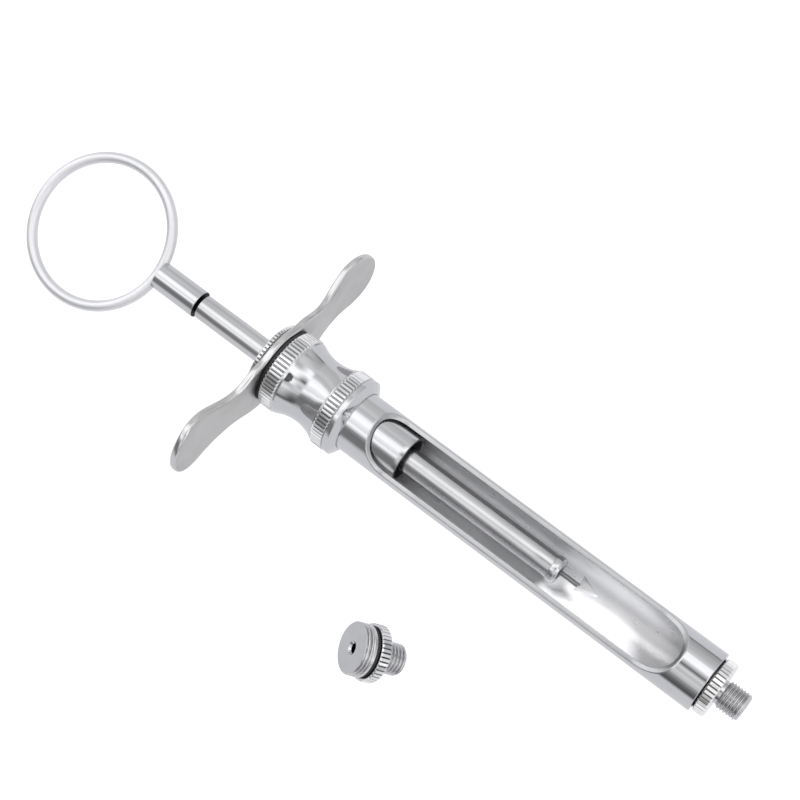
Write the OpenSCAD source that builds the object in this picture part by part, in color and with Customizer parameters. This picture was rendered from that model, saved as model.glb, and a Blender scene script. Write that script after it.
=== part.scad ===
// Aspirating dental cartridge syringe, breech loading through a side window,
// with a second needle adapter lying loose beside it.
// Axes: +X runs along the barrel towards the needle, +Z out of the cartridge
// window, +/-Y across the finger grip. The origin is on the barrel axis, on
// the front face of the needle adapter's flange. All sizes in mm.

/* [Barrel] */
// Outside diameter of the barrel
barrel_od = 12; // [11.8:0.05:12.2]
// Bore of the barrel behind its front thread
barrel_bore = 10.3; // [10.2:0.05:10.4]
// Front end of the window, behind the adapter flange
window_front = 8.3; // [7.6:0.1:10]
// Rear end of the window, behind the adapter flange
window_rear = 75.9; // [74:0.1:76.2]
// Height above the axis at which the window's long edges are cut
window_floor = 2.5; // [2.4:0.05:3.2]
// Radius of the sweep that runs the cut out at the window's front end
window_front_sweep = 9; // [5:0.5:10]
// Radius of the sweep that runs the cut out at the window's rear end
window_rear_sweep = 5.5; // [4.5:0.5:7]
// Lean of the rear run-out, seen from above
window_lean = 10; // [0:1:12]

/* [Spring housing] */
// Radius of the rear knurled collar over its teeth
rear_collar_r = 7.95; // [7.9:0.05:8.1]
// Radius of the front knurled band over its teeth
front_band_r = 8.0; // [7.95:0.05:8.2]
// Radius of the waist at its thinnest
waist_r = 6.66; // [6.6:0.02:6.9]
// Radius of the hollow that sweeps the waist
waist_sweep = 9.1; // [8.5:0.1:10]
// Teeth round each knurled band
knurl_teeth = 60; // [48:1:64]
// Depth of the knurling
knurl_depth = 0.33; // [0.2:0.01:0.35]

/* [Plunger] */
// Diameter of the plunger rod
rod_d = 4.8; // [4.7:0.02:4.8]
// Front end of the plunger, behind the adapter flange
rod_front = 34.4; // [33:0.1:36]
// Length of the arrow head of the harpoon
arrow_length = 4.05; // [3:0.05:4.3]
// Width of the arrow head across its barbs
arrow_width = 3.3; // [2.6:0.1:3.6]
// Thickness of the arrow head
arrow_thick = 0.8; // [0.6:0.05:1]
// Distance of the arrow head's middle from the rod's axis
arrow_offset = 0.55; // [0:0.05:0.6]
// Roll of the arrow head about the rod
arrow_roll = -24; // [-90:1:90]

/* [Thumb ring] */
// Radius of the ring to the middle of its wire
ring_r = 14.22; // [13:0.1:15]
// Diameter of the wire the ring is bent from
ring_wire = 2.16; // [1.8:0.02:2.4]
// Diameter of the collar that joins the ring to the rod
collar_d = 5.5; // [5.3:0.1:6]
// Roll of the ring about the barrel axis
ring_roll = 10; // [-90:1:90]

/* [Finger grip] */
// Distance from the axis to each wing tip
wing_span = 28.6; // [27:0.1:30]
// Widest half width of each wing
wing_half_width = 6.95; // [6:0.05:7.4]
// Half width of the neck between hub and wing
neck_half_width = 4.75; // [4.2:0.05:5.2]
// Thickness of the grip plate
wing_thick = 1.5; // [1.3:0.05:1.5]
// How far the wings sweep back towards the thumb ring
wing_sweep = 1.3; // [0.8:0.05:1.8]
// How far the tips curl forward again
tip_curl = 0.55; // [0:0.05:0.8]
// Roll of the grip about the barrel axis
grip_roll = -20.5; // [-90:0.5:90]

/* [Cartridge guide] */
// Outside diameter of the guide sleeve
sleeve_od = 9.5; // [9.3:0.05:9.55]
// Bore of the guide sleeve
sleeve_bore = 8.3; // [8:0.05:8.5]
// Front end of the sleeve, behind the adapter flange
sleeve_front = 68.6; // [67.5:0.1:70]
// Wire diameter of the guide spring
spring_wire = 0.6; // [0.5:0.02:0.6]
// Turns of the guide spring
spring_turns = 4.5; // [3.5:0.5:4.5]

/* [Needle adapter] */
// Radius of the knurled flange over its teeth
flange_r = 5.45; // [5.35:0.01:5.6]
// Thickness of the knurled flange
flange_t = 2.2; // [2:0.05:2.3]
// Teeth round the flange
flange_teeth = 40; // [36:1:48]
// Crest radius of the inch needle thread
needle_r = 2.78; // [2.74:0.01:2.82]
// Pitch of the inch needle thread
needle_pitch = 0.64; // [0.6:0.01:0.65]
// Length of the needle stub
stub_length = 5; // [4.9:0.05:5.4]
// Radius of the passage for the needle's rear end
needle_passage = 0.9; // [0.7:0.05:1]
// Crest radius of the metric needle thread on the second adapter
spare_r = 3; // [2.95:0.01:3]
// X of the loose second adapter, along the barrel
spare_x = -53.4; // [-80:0.1:-40]
// Y of the loose second adapter, across the barrel
spare_y = -31.1; // [-60:0.1:-28]
// Z of the loose second adapter, negative below the axis
spare_z = -9.5; // [-12:0.1:-4]
// Heading of the second adapter's axis
spare_heading = 25.6; // [-30:0.2:40]
// Downward tilt of the second adapter's stub
spare_tilt = 41.6; // [0:0.2:60]

/* [Hidden] */
$fn = 96;
fit = 0.05; // usual gap between neighbouring pieces
over = 1;   // how far a cutter runs past the face it opens
barrel_r = barrel_od / 2;
rod_r = rod_d / 2;

// Stations along X, from the front back
barrel_front = -2.5;
front_thread_rear = -6.2;
housing_front = -80.5;
band_front = -82.6;
band_rear = -85.2;
barrel_rear = -85.9;
shoulder = -86.3; // step between the housing's barrel socket and spring bore
sleeve_rear = -88.3;
waist_x = -89.8;
collar_front = -94.6;
spring_rear = -95.9;
housing_wall = -96.3; // rear end of the spring bore
housing_rear = -97.6;
washer_front = housing_rear - fit;
washer_rear = washer_front - 0.6;
grip_front = washer_rear - fit;
nut_front = grip_front - wing_thick - fit;
boss_rear = -101.9;

// Radii shared by pieces that fit together
front_thread_r = 5.03;
spring_bore_r = 5.45;
in_spring_bore_r = spring_bore_r - 0.07;
boss_r = 4.0;
bush_r = 3.2;

// ---- shared shapes -------------------------------------------------------
// turns a section about X; its x is the radius, its y the station along X
module spin_x() {
    rotate([0, 90, 0]) rotate_extrude() children();
}
// solid of revolution about X from [x, r] points
module revolve(points) {
    spin_x() polygon([for (p = points) [p[1], p[0]]]);
}
// stretches a section, drawn as [y, z], from x0 to x1
module extrude_x(x0, x1) {
    translate([x0, 0, 0]) rotate([90, 0, 90]) linear_extrude(x1 - x0) children();
}
module rod_x(x0, x1, r) {
    translate([x0, 0, 0]) rotate([0, 90, 0]) cylinder(h = x1 - x0, r = r);
}
module tube_x(x0, x1, outer_r, inner_r) {
    difference() {
        rod_x(x0, x1, outer_r);
        rod_x(x0 - over, x1 + over, inner_r);
    }
}
// straight-knurled disc about X with flat-topped teeth
module knurl_x(x0, x1, r, depth, teeth) {
    tooth = [[0, 0], [0.36, 0], [0.68, depth]]; // [part of a step, depth]
    extrude_x(x0, x1) polygon([for (i = [0 : teeth - 1], corner = tooth)
        let (angle = (i + corner[0]) * 360 / teeth, corner_r = r - corner[1])
        corner_r * [cos(angle), sin(angle)]]);
}
// zigzag of a thread seen in section, from x0 forward, as [x, r] points
function thread_line(x0, turns, pitch, r, depth) = let (
    tooth = [[0.05, 0], [0.3, 0], [0.6, depth], [0.75, depth]]) // as in knurl_x
    [for (i = [0 : turns - 1], corner = tooth)
        [x0 + (i + corner[0]) * pitch, r - corner[1]]];
// smooth step from 0 to 1 as v goes from 0 to 1
function ease(v) = 0.5 - 0.5 * cos(180 * max(0, min(1, v)));

// ---- barrel --------------------------------------------------------------
window_cut_length = 78;

// cutter for everything above z = floor_z on -x; its floor runs up along an
// arc of radius sweep and leaves the barrel's top at x = 0
module run_out(floor_z, sweep, width) {
    steps = 14;
    arc = acos((sweep - (barrel_r - floor_z)) / sweep);
    top = barrel_r + 3;
    translate([0, width / 2, 0]) rotate([90, 0, 0]) linear_extrude(width)
        polygon(concat(
            [[-window_cut_length, floor_z]],
            [for (i = [0 : steps]) let (angle = arc * i / steps)
                [sweep * (sin(angle) - sin(arc)),
                 floor_z + sweep * (1 - cos(angle))]],
            [[2, top], [-window_cut_length, top]]));
}
// cutter for the cartridge window: a level cut with a run-out at each end
module window_cut() {
    intersection() {
        translate([-window_front, 0, 0])
            run_out(window_floor, window_front_sweep, width = 14);
        // a hair lower, so that the front cutter alone sets the floor
        translate([-window_rear, 0, 0]) rotate([0, 0, 180 + window_lean])
            run_out(window_floor - 0.01, window_rear_sweep, width = 60);
    }
}
module barrel() {
    color("gainsboro") difference() {
        rod_x(barrel_rear, barrel_front, barrel_r);
        rod_x(barrel_rear - over, front_thread_rear, barrel_bore / 2);
        rod_x(front_thread_rear - over, barrel_front + over, front_thread_r);
        window_cut();
    }
}

// ---- spring housing ------------------------------------------------------
plain_ring_r = front_band_r - 0.06;

// waist between the two knurled bands
module waist() {
    overlap = 0.1;
    spin_x() difference() {
        translate([0, collar_front - overlap])
            square([front_band_r - 0.15, band_rear - collar_front + 2 * overlap]);
        translate([waist_r + waist_sweep, waist_x]) circle(r = waist_sweep);
    }
}
module spring_housing() {
    color("silver") difference() {
        union() {
            waist();
            // rear collar: plain core and knurling
            rod_x(housing_rear, collar_front, rear_collar_r - knurl_depth - 0.05);
            knurl_x(housing_rear + 0.15, collar_front, rear_collar_r,
                knurl_depth, knurl_teeth);
            // front band, then the plain ring and its bevel down to the barrel
            knurl_x(band_rear, band_front, front_band_r, knurl_depth,
                knurl_teeth);
            revolve([[band_front - 0.3, 0], [band_front - 0.3, plain_ring_r],
                [housing_front - 0.9, plain_ring_r],
                [housing_front, barrel_r + 0.35], [housing_front, 0]]);
            // threaded boss that carries the grip and the nut
            rod_x(boss_rear, housing_rear + 0.5, boss_r);
        }
        rod_x(shoulder, housing_front + over, barrel_r + 0.02);
        rod_x(housing_wall, shoulder + over, spring_bore_r);
        rod_x(boss_rear - over, housing_wall + over, bush_r + 0.02);
    }
}
// buffer the guide sleeve lands on when its spring pushes it home
module guide_bumper() {
    gap = 0.02;
    color("dimgray") tube_x(shoulder + gap, barrel_rear - gap,
        barrel_r - 0.04, sleeve_od / 2 + 0.1);
}

// ---- cartridge guide -----------------------------------------------------
module guide_sleeve() {
    flange_front = shoulder - fit;
    outer_r = sleeve_od / 2;
    inner_r = sleeve_bore / 2;
    rod_hole_r = rod_r + 0.06;
    chamfer = 0.15;
    color("silver") revolve([
        [sleeve_rear, rod_hole_r], [sleeve_rear, in_spring_bore_r],
        [flange_front, in_spring_bore_r], [flange_front, outer_r],
        [-sleeve_front - chamfer, outer_r], [-sleeve_front, outer_r - chamfer],
        [-sleeve_front, inner_r], [flange_front, inner_r],
        [flange_front, rod_hole_r]]);
}

coil_r = 4.6; // to the middle of the wire
coil_steps = 24; // sections in each turn
wire_sides = 6;
coil_rear = spring_rear + spring_wire / 2;
coil_front = sleeve_rear - 0.06 - spring_wire / 2;

// distance along the coil's axis after some turns, with closed end turns
function coil_advance(turn) = let (
    closed = spring_wire * 1.03,
    length = coil_front - coil_rear)
    turn < 1 ? closed * turn :
    turn > spring_turns - 1 ? length - closed * (spring_turns - turn) :
    closed + (length - 2 * closed) * (turn - 1) / (spring_turns - 2);
module guide_spring() {
    last = spring_turns * coil_steps;
    points = [for (i = [0 : last], j = [0 : wire_sides - 1])
        let (turn = i / coil_steps,
             side = 360 * j / wire_sides,
             r = coil_r + spring_wire / 2 * cos(side),
             x = coil_rear + coil_advance(turn) + spring_wire / 2 * sin(side))
        [x, r * cos(360 * turn), r * sin(360 * turn)]];
    sides = [for (i = [0 : last - 1], j = [0 : wire_sides - 1])
        let (near = i * wire_sides,
             far = near + wire_sides,
             k = (j + 1) % wire_sides)
        [near + j, near + k, far + k, far + j]];
    ends = [[for (j = [wire_sides - 1 : -1 : 0]) j],
        [for (j = [0 : wire_sides - 1]) last * wire_sides + j]];
    color("slategray") polyhedron(points = points, faces = concat(sides, ends));
}
module spring_seat() {
    gap = 0.03;
    color("gold")
        tube_x(housing_wall + gap, spring_rear - gap, in_spring_bore_r, 2.6);
}

// ---- rear end of the housing ---------------------------------------------
bush_groove_rear = -99.6;
bush_groove_front = -98.5;

module rod_bush() {
    color("goldenrod") difference() {
        tube_x(boss_rear + fit, housing_wall - fit, bush_r, rod_r + fit);
        rod_x(bush_groove_rear, bush_groove_front, 2.98);
    }
}
module rod_o_ring() {
    color("black") spin_x()
        translate([2.7, (bush_groove_rear + bush_groove_front) / 2])
            circle(r = 0.27, $fn = 32);
}
module grip_washer() {
    color("black") tube_x(washer_rear, washer_front, 7.6, boss_r + 0.1);
}
module rear_nut() {
    nut_rear = nut_front - 1.9;
    core_r = 6.9;
    color("silver") difference() {
        union() {
            knurl_x(nut_front - 1.1, nut_front - 0.1, 7.35, 0.3, knurl_teeth);
            revolve([[nut_front, 0], [nut_front, core_r],
                [nut_front - 1.15, core_r], [nut_rear, 5.3], [nut_rear, 0]]);
        }
        rod_x(nut_front - 3, nut_front + over, boss_r + 0.02);
    }
}

// ---- finger grip ---------------------------------------------------------
// distances from the axis along a wing
hub_blend = 6;    // where the hub starts to narrow
neck_end = 13;    // where the neck starts to widen
wing_widest = 22.3;
tip_length = wing_span - wing_widest;

// front face of the plate at a distance y from the axis
function wing_face(y) = grip_front
    - wing_sweep * ease((abs(y) - 9) / 12) + tip_curl * ease((abs(y) - 20) / 10);
// half width of the plate at a distance y >= 0 from the axis
function wing_half(y) =
    y > wing_widest ?
        wing_half_width * sqrt(max(0, 1 - pow((y - wing_widest) / tip_length, 2))) :
    y > neck_end ? neck_half_width + (wing_half_width - neck_half_width)
        * ease((y - neck_end) / (wing_widest - neck_end)) :
    neck_half_width + 1.9 * (1 - ease((y - hub_blend) / (neck_end - hub_blend)));
// both wings: the bent side view crossed with the front outline
module grip_blade() {
    face_y = [for (i = [-44 : 44]) i * 0.7];
    last_face = len(face_y) - 1;
    wing_y = concat([for (i = [0 : 16]) i * wing_widest / 16],
        [for (i = [1 : 15]) wing_widest + tip_length * sin(i * 6)]);
    last_wing = len(wing_y) - 1;
    edge = concat(
        [for (i = [last_wing : -1 : 0]) [-wing_y[i], wing_half(wing_y[i])]],
        [for (i = [1 : last_wing]) [wing_y[i], wing_half(wing_y[i])]]);
    intersection() {
        translate([0, 0, -10]) linear_extrude(20) polygon(concat(
            [for (y = face_y) [wing_face(y), y]],
            [for (i = [last_face : -1 : 0])
                [wing_face(face_y[i]) - wing_thick, face_y[i]]]));
        // the tips lie on the mirror line, so they are not repeated
        extrude_x(-104, -94) polygon(concat(edge,
            [for (i = [len(edge) - 1 : -1 : 0])
                if (edge[i][1] > 0.01) [edge[i][0], -edge[i][1]]]));
    }
}
module finger_grip() {
    color("lightgray") rotate([grip_roll, 0, 0]) difference() {
        union() {
            grip_blade();
            rod_x(grip_front - wing_thick, grip_front, 7.8);
        }
        rod_x(grip_front - 5, grip_front + 5, boss_r + fit);
    }
}

// ---- plunger -------------------------------------------------------------
rod_tip = -rod_front;
holder_r = 1.5;
holder_head_rear = rod_tip - 1.6;
shank_r = 0.45;
rod_shoulder = -117.6;
tail_end = -126.1;
tail_r = 1.6;
// snap ring that holds the tail in the ring collar, and the grooves round it
snap_x = -124.375;
snap_half = 0.325;
snap_inner_r = 1.28;
snap_outer_r = 2.08;

module plunger_rod() {
    head_x = holder_head_rear - fit;
    groove_half = snap_half + 0.1;
    groove_r = snap_inner_r - 0.08;
    color("silver") difference() {
        revolve([[tail_end, 0], [tail_end, tail_r - 0.2], [tail_end + 0.2, tail_r],
            [snap_x - groove_half, tail_r], [snap_x - groove_half, groove_r],
            [snap_x + groove_half, groove_r], [snap_x + groove_half, tail_r],
            [rod_shoulder, tail_r], [rod_shoulder, rod_r - 0.15],
            [rod_shoulder + 0.15, rod_r], [head_x, rod_r], [head_x, 0]]);
        rod_x(rod_tip - 6.6, rod_tip, holder_r + 0.02);
    }
}
// stem inside the rod, with a head in front of it, recessed at its mouth
module harpoon_holder() {
    rear = rod_tip - 6.4;
    recess = rod_tip - 0.7;
    head_r = rod_r + 0.22;
    hole_r = shank_r + 0.02;
    color("silver") revolve([
        [rear, hole_r], [rear, holder_r - 0.2], [rear + 0.2, holder_r],
        [holder_head_rear, holder_r], [holder_head_rear, head_r],
        [rod_tip - 0.5, head_r], [rod_tip, rod_r - 0.15], [rod_tip, 1.5],
        [recess, 1.1], [recess, hole_r]]);
}
module harpoon() {
    arrow_base = rod_tip + 7.75 - arrow_length;
    barb = arrow_width / 2;
    color("gray") rotate([arrow_roll, 0, 0]) union() {
        rod_x(rod_tip - 4, arrow_base + 0.6, shank_r);
        translate([0, 0, -arrow_thick / 2]) linear_extrude(arrow_thick)
            translate([arrow_base, arrow_offset])
                polygon([[arrow_length, 0], [0.2, barb], [0, barb - 0.1],
                    [0.25, 0], [0, -barb + 0.1], [0.2, -barb]]);
    }
}

// ---- thumb ring ----------------------------------------------------------
ring_collar_front = -118.2;
ring_edge = ring_collar_front - 9.44; // front of the ring, inside the collar
ring_x = ring_edge - ring_r - ring_wire / 2;

module ring_torus(wire_r) {
    translate([ring_x, 0, 0]) rotate_extrude() translate([ring_r, 0])
        circle(r = wire_r, $fn = 48);
}
module thumb_ring() {
    color("silver") rotate([ring_roll, 0, 0]) ring_torus(ring_wire / 2);
}
module ring_collar() {
    rear = ring_collar_front - 10.2;
    collar_r = collar_d / 2;
    groove_half = snap_half + 0.05;
    color("silver") rotate([ring_roll, 0, 0]) difference() {
        revolve([[rear, 0], [rear, collar_r - 0.04],
            [ring_collar_front - 0.15, collar_r + 0.03],
            [ring_collar_front, collar_r - 0.12], [ring_collar_front, 0]]);
        ring_torus(ring_wire / 2 + 0.01);
        rod_x(tail_end - 0.1, ring_collar_front + over, tail_r + 0.06);
        rod_x(snap_x - groove_half, snap_x + groove_half, snap_outer_r + 0.04);
    }
}
module swivel_snap_ring() {
    slot = 1;
    color("slategray") rotate([ring_roll, 0, 0]) difference() {
        tube_x(snap_x - snap_half, snap_x + snap_half, snap_outer_r, snap_inner_r);
        translate([-126, -slot / 2, 0]) cube([4, slot, 4]);
    }
}

// ---- needle adapters -----------------------------------------------------
metric_pitch = 0.75; // of the barrel thread and the second needle thread
adapter_rear = -5.4;
groove_rear = -2.97; // the O-ring's groove ends at the flange
groove_r = 4.35;

// barrel thread, flange and needle stub about X, flange face at x = 0
module adapter(stub_r, pitch, turns) {
    thread_r = front_thread_r - fit;
    rim_r = flange_r - 0.3;
    neck_r = stub_r - 0.45;
    neck_rear = 0.3;
    neck_front = 0.9;
    difference() {
        union() {
            knurl_x(-flange_t + 0.15, -0.15, flange_r, 0.26, flange_teeth);
            revolve(concat(
                [[adapter_rear, 0], [adapter_rear, 4.7],
                 [adapter_rear + 0.15, 4.85]],
                thread_line(adapter_rear + 0.2, 2, metric_pitch, thread_r, 0.38),
                [[-3.75, thread_r], [groove_rear, thread_r],
                 [groove_rear, groove_r], [-flange_t, groove_r],
                 [-flange_t, rim_r], [0, rim_r], [0, stub_r],
                 [neck_rear, stub_r], [neck_rear, neck_r], [neck_front, neck_r]],
                thread_line(neck_front, turns, pitch, stub_r, 0.42),
                [[stub_length - 0.25, stub_r - 0.3],
                 [stub_length, stub_r - 0.55], [stub_length, 0]]));
        }
        rod_x(adapter_rear - 0.6, stub_length + over, needle_passage);
        // funnel at the rear of the passage
        revolve([[adapter_rear - 0.1, 0],
            [adapter_rear - 0.1, needle_passage + 0.5],
            [adapter_rear + 0.5, needle_passage - 0.1],
            [adapter_rear + 0.5, 0]]);
    }
}
module adapter_seal() {
    tube_x(groove_rear + 0.07, -flange_t - 0.1, 4.88, groove_r + fit);
}
// puts a second adapter's piece where it lies beside the barrel
module beside() {
    translate([spare_x, spare_y, spare_z])
        rotate([0, spare_tilt, spare_heading]) children();
}
module needle_adapter() {
    color("silver") adapter(needle_r, needle_pitch, turns = 6);
}
module adapter_o_ring() {
    color("black") adapter_seal();
}
module spare_adapter() {
    color("silver") beside() adapter(spare_r, metric_pitch, turns = 5);
}
module spare_o_ring() {
    color("black") beside() adapter_seal();
}

barrel();
spring_housing();
guide_bumper();
guide_sleeve();
guide_spring();
spring_seat();
rod_bush();
rod_o_ring();
grip_washer();
finger_grip();
rear_nut();
plunger_rod();
harpoon_holder();
harpoon();
ring_collar();
swivel_snap_ring();
thumb_ring();
needle_adapter();
adapter_o_ring();
spare_adapter();
spare_o_ring();
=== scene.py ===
"""Chromed syringe with finger grip, thumb ring and a spare needle adapter lying beside it.

It lies along X: needle end towards +X, thumb ring towards -X. The barrel's window opens
to +Z, the grip's wings reach out along Y and the spare adapter lies on the -Y side.
Shapes are drawn in millimetres; profiles are (x, radius) outlines turned about X.
"""
import bmesh
import bpy
import math
from mathutils import Matrix, Vector


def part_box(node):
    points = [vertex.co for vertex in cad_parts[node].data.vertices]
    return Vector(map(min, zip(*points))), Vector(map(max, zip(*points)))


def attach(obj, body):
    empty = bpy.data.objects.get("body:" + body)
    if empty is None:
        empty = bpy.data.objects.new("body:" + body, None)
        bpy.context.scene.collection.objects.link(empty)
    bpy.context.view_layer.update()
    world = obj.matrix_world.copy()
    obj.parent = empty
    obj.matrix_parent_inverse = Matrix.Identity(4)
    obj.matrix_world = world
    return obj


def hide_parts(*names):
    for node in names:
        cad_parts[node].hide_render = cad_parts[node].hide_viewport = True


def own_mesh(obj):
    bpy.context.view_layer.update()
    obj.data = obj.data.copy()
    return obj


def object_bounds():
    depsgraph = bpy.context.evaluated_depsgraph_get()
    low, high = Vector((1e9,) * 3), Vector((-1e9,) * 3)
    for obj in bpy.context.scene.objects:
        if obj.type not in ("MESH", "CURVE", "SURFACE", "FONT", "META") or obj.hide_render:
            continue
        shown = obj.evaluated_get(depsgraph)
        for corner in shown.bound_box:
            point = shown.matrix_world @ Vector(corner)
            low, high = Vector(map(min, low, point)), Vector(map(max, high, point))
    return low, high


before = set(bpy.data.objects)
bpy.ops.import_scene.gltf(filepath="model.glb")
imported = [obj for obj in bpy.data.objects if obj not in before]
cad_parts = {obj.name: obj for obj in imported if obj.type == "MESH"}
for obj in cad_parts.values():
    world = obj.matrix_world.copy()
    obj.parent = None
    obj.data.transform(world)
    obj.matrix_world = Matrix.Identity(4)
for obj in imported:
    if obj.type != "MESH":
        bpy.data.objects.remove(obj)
cad_lo, cad_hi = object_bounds()

MM = 0.001
TAU = 2 * math.pi
scene = bpy.context.scene


def span(node):
    """Box of a CAD node in millimetres: lowest corner, highest corner."""
    low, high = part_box(node)
    return [c / MM for c in low], [c / MM for c in high]


# ------------------------------------------------------------ shader nodes
class Nodes:
    """Builds the emptied node tree of a material or world.

    An input's value may be a constant or the output socket that feeds it.
    """

    def __init__(self, owner):
        owner.use_nodes = True
        self.tree = owner.node_tree
        self.tree.nodes.clear()

    def feed(self, socket, value):
        if isinstance(value, bpy.types.NodeSocket):
            self.tree.links.new(value, socket)
        else:
            socket.default_value = value

    def add(self, kind, settings=None, **inputs):
        """Adds a node; inputs go by name, with _ for a space."""
        node = self.tree.nodes.new("ShaderNode" + kind)
        for key, value in (settings or {}).items():
            setattr(node, key, value)
        for key, value in inputs.items():
            self.feed(node.inputs[key.replace("_", " ")], value)
        return node

    def math(self, operation, *values):
        node = self.add("Math", {"operation": operation})
        for socket, value in zip(node.inputs, values):
            self.feed(socket, value)
        return node.outputs[0]

    def mix(self, factor, first, second, blend_type="MIX"):
        """Mixes two colours."""
        settings = {"data_type": "RGBA", "blend_type": blend_type}
        node = self.add("Mix", settings, Factor=factor, A=first, B=second)
        return node.outputs["Result"]

    def mix_shaders(self, factor, *shaders):
        node = self.add("MixShader")
        for socket, value in zip(node.inputs, (factor, *shaders)):
            self.feed(socket, value)
        return node.outputs[0]

    def map_range(self, value, settings=None, **ends):
        return self.add("MapRange", settings, Value=value, **ends).outputs["Result"]

    def ramp(self, factor, stops, interpolation="LINEAR"):
        """Colour ramp; stops are (position, grey or colour)."""
        node = self.add("ValToRGB", Fac=factor)
        node.color_ramp.interpolation = interpolation
        elements = node.color_ramp.elements
        elements[0].position = stops[0][0]
        elements[1].position = stops[-1][0]
        made = [elements[0], elements[1]]
        for element, (_, tone) in zip(made, (stops[0], stops[-1])):
            element.color = rgba(tone)
        for position, tone in stops[1:-1]:
            elements.new(position).color = rgba(tone)
        return node.outputs["Color"]

    def noise(self, scale, detail, roughness=0.5, rotation=(0, 0, 0)):
        """Noise in object space; scale is per axis, per metre."""
        place = self.add("TexCoord").outputs["Object"]
        mapped = self.add("Mapping", Vector=place, Scale=scale, Rotation=rotation)
        return self.add("TexNoise", Vector=mapped.outputs["Vector"], Scale=1.0,
                        Detail=detail, Roughness=roughness).outputs["Fac"]


def rgba(tone):
    return (*(tone if isinstance(tone, tuple) else (tone,) * 3), 1)


# --------------------------------------------------------------- materials
# direction and fineness of the two sets of hairline scratches
SCRATCH_SETS = [
    {"rotation": (0.3, 0.5, 0.35), "scale": (260, 5200, 5200)},
    {"rotation": (0.1, -0.4, -0.6), "scale": (300, 6500, 6500)},
]


def metal(name, light, dark, rough, scratch, bump,
          grain=0.0, grain_scale=None, painted_recess_shade=0.0, metallic=1.0):
    """Polished or brushed metal.

    light, dark: the two tones of its clouds.  rough: roughness when clean and smudged.
    scratch: roughness a scratch adds.  bump: strength of the relief.
    grain, grain_scale: height and fineness of the brushing.
    painted_recess_shade: how far recesses are darkened with painted shade.
    """
    material = bpy.data.materials.new(name)
    nodes = Nodes(material)
    clouds = nodes.noise(scale=(90, 90, 90), detail=5.0, roughness=0.6)
    tone = nodes.mix(nodes.ramp(clouds, [(0.3, 0.0), (0.6, 1.0)]), rgba(dark), rgba(light))

    # scratches gather in patches, where hands and trays rub
    lines = [nodes.ramp(nodes.noise(detail=2.0, **kind), [(0.655, 0.0), (0.70, 1.0)])
             for kind in SCRATCH_SETS]
    patches = nodes.noise(scale=(140, 140, 140), detail=3.0)
    scratches = nodes.math("MULTIPLY", nodes.math("MAXIMUM", *lines),
                           nodes.ramp(patches, [(0.42, 0.0), (0.62, 1.0)]))

    smudges = nodes.noise(scale=(260, 260, 260), detail=6.0, roughness=0.7)
    smudged = nodes.map_range(smudges, From_Min=0.35, From_Max=0.7,
                              To_Min=rough[0], To_Max=rough[1])
    roughness = nodes.math("MULTIPLY_ADD", scratches, scratch, smudged)
    scratch_height = -0.6
    height = nodes.math("MULTIPLY", scratches, scratch_height)
    if grain:
        brushing = nodes.noise(scale=grain_scale, detail=4.0, roughness=0.65)
        grain_roughness = 0.18
        height = nodes.math("MULTIPLY_ADD", brushing, grain, height)
        roughness = nodes.math("MULTIPLY_ADD", brushing, grain_roughness, roughness)
    waves = nodes.noise(scale=(55, 160, 160), detail=2.0)
    wave_height = 0.5
    height = nodes.math("MULTIPLY_ADD", waves, wave_height, height)
    relief = nodes.add("Bump", Strength=bump, Distance=0.0002, Height=height)

    # painted shade: ambient occlusion darkens the colour in recesses and grooves, standing in
    # for the shade that falls there
    if painted_recess_shade:
        occlusion = nodes.add("AmbientOcclusion", {"samples": 6}, Distance=0.0009)
        shade_mask = nodes.ramp(occlusion.outputs["AO"], [(0.15, 1.0), (0.85, 0.0)])
        tone = nodes.mix(shade_mask, tone, rgba(tuple(c * (1 - painted_recess_shade) for c in dark)))
    shader = nodes.add("BsdfPrincipled", Metallic=metallic, Base_Color=tone,
                       Roughness=roughness, Normal=relief.outputs["Normal"])
    nodes.add("OutputMaterial", Surface=shader.outputs["BSDF"])
    return material


def rubber(name, colour):
    """Dull, finely mottled rubber."""
    material = bpy.data.materials.new(name)
    nodes = Nodes(material)
    mottle = nodes.noise(scale=(2500, 2500, 2500), detail=6.0, roughness=0.7)
    lighter = tuple(c * 2.0 + 0.003 for c in colour)
    relief = nodes.add("Bump", Strength=0.25, Distance=0.0001, Height=mottle)
    shader = nodes.add(
        "BsdfPrincipled", Specular_IOR_Level=0.25,
        Base_Color=nodes.ramp(mottle, [(0.3, colour), (0.75, lighter)]),
        Roughness=nodes.map_range(mottle, To_Min=0.45, To_Max=0.75),
        Normal=relief.outputs["Normal"])
    nodes.add("OutputMaterial", Surface=shader.outputs["BSDF"])
    return material


CHROME = metal(
    "chrome_plate", light=(0.61, 0.614, 0.632), dark=(0.575, 0.58, 0.598),
    rough=(0.04, 0.10), scratch=0.22, bump=0.03)
# the knurled, threaded and flange chromes below carry painted shade in their grooves
CHROME_KNURL = metal(
    "chrome_knurled", light=(0.80, 0.803, 0.815), dark=(0.70, 0.704, 0.72),
    rough=(0.12, 0.22), scratch=0.2, bump=0.06, painted_recess_shade=0.88)
CHROME_THREAD = metal(
    "chrome_threaded", light=(0.68, 0.68, 0.69), dark=(0.56, 0.56, 0.575),
    rough=(0.18, 0.30), scratch=0.2, bump=0.08, painted_recess_shade=0.45)
CHROME_RING = metal(
    "chrome_ring", light=(0.80, 0.802, 0.825), dark=(0.76, 0.762, 0.785),
    rough=(0.42, 0.50), scratch=0.1, bump=0.03)
CHROME_FLANGE = metal(
    "chrome_flange", light=(0.95, 0.95, 0.955), dark=(0.88, 0.88, 0.89),
    rough=(0.22, 0.32), scratch=0.15, bump=0.05, painted_recess_shade=0.85)
BORE = metal(
    "reamed_bore", light=(0.64, 0.642, 0.655), dark=(0.58, 0.582, 0.595),
    rough=(0.19, 0.27), scratch=0.02, bump=0.03,
    grain=0.3, grain_scale=(240, 3200, 3200), metallic=0.6)
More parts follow.
